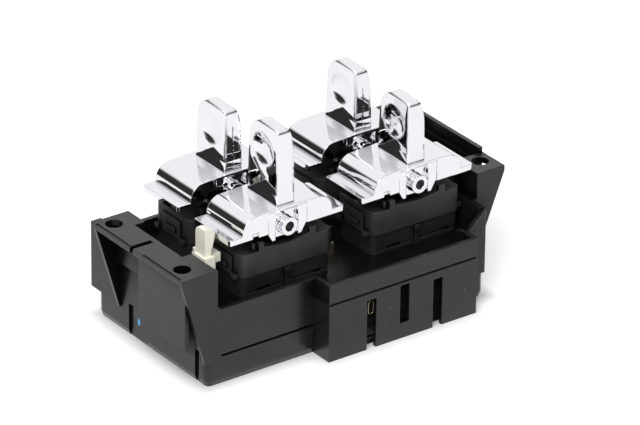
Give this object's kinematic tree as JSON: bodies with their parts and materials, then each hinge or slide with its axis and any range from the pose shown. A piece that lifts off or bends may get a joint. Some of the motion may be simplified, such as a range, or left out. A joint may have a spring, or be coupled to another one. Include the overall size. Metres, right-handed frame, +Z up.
{
  "type": "multi-gang rocker lever switch",
  "caption": "Long black switch module with screw ears and a bottom connector shroud, carrying bright upright levers that rock fore and aft on their own switch blocks.",
  "frame": {"origin": "under the middle of the bounding box, on the surface the module stands on", "axes": "+X along the module from the tall-tab end to the wide-ear end, +Y from the connector side to the back, +Z up along the levers"},
  "size_m": [0.127, 0.0708, 0.0738],
  "materials": {
    "housing_plastic": "satin moulded black",
    "block_plastic": "fine spark-eroded black",
    "bright_chrome": "mirror plated",
    "contact_brass": "tinned, dull",
    "board_laminate": "solder resist",
    "ivory_plastic": "satin",
    "slider_plastic": "satin",
    "pin_steel": "ground",
    "screw_steel": "zinc plated"
  },
  "bodies": {
    "module": {"housing": "housing_plastic", "bottom_cover": "housing_plastic", "connector_shroud": "housing_plastic", "connector_pins": "contact_brass", "circuit_board": "board_laminate", "lamp_holder": "ivory_plastic", "contact_clips": "contact_brass", "cover_screws": "screw_steel", "case_front_left": "block_plastic", "case_rear_left": "block_plastic", "case_front_right": "block_plastic", "case_rear_right": "block_plastic", "base_front_left": "block_plastic", "base_rear_left": "block_plastic", "base_front_right": "block_plastic", "base_rear_right": "block_plastic", "pivot_pin_front_left": "pin_steel", "pivot_pin_rear_left": "pin_steel", "pivot_pin_front_right": "pin_steel", "pivot_pin_rear_right": "pin_steel"},
    "lever_front_left": {"lever_front_left": "bright_chrome"},
    "lever_rear_left": {"lever_rear_left": "bright_chrome"},
    "lever_front_right": {"lever_front_right": "bright_chrome"},
    "lever_rear_right": {"lever_rear_right": "bright_chrome"},
    "slider_front_left": {"slider_front_left": "slider_plastic"},
    "slider_rear_left": {"slider_rear_left": "slider_plastic"},
    "slider_front_right": {"slider_front_right": "slider_plastic"},
    "slider_rear_right": {"slider_rear_right": "slider_plastic"}
  },
  "joints": [
    {"name": "rock_front_left", "type": "hinge", "parent": "module", "child": "lever_front_left", "pos_m": [-0.01865, -0.0096, 0.0416], "axis": [0, 1, 0], "range_deg": [-9, 9], "stiffness_Nm_per_rad": 0.3},
    {"name": "rock_rear_left", "type": "hinge", "parent": "module", "child": "lever_rear_left", "pos_m": [-0.01865, 0.018, 0.0416], "axis": [0, 1, 0], "range_deg": [-9, 9], "stiffness_Nm_per_rad": 0.3},
    {"name": "rock_front_right", "type": "hinge", "parent": "module", "child": "lever_front_right", "pos_m": [0.03075, -0.0096, 0.0416], "axis": [0, 1, 0], "range_deg": [-9, 9], "stiffness_Nm_per_rad": 0.3},
    {"name": "rock_rear_right", "type": "hinge", "parent": "module", "child": "lever_rear_right", "pos_m": [0.03075, 0.018, 0.0416], "axis": [0, 1, 0], "range_deg": [-9, 9], "stiffness_Nm_per_rad": 0.3},
    {"name": "slide_front_left", "type": "slide", "parent": "module", "child": "slider_front_left", "axis": [1, 0, 0], "range_m": [-0.00252, 0.00252]},
    {"name": "slide_rear_left", "type": "slide", "parent": "module", "child": "slider_rear_left", "axis": [1, 0, 0], "range_m": [-0.00252, 0.00252]},
    {"name": "slide_front_right", "type": "slide", "parent": "module", "child": "slider_front_right", "axis": [1, 0, 0], "range_m": [-0.00252, 0.00252]},
    {"name": "slide_rear_right", "type": "slide", "parent": "module", "child": "slider_rear_right", "axis": [1, 0, 0], "range_m": [-0.00252, 0.00252]}
  ],
  "couplings": [
    {"joint": "slide_front_left", "follows": "rock_front_left", "m_per_rad": -0.016},
    {"joint": "slide_rear_left", "follows": "rock_rear_left", "m_per_rad": -0.016},
    {"joint": "slide_front_right", "follows": "rock_front_right", "m_per_rad": -0.016},
    {"joint": "slide_rear_right", "follows": "rock_rear_right", "m_per_rad": -0.016}
  ]
}
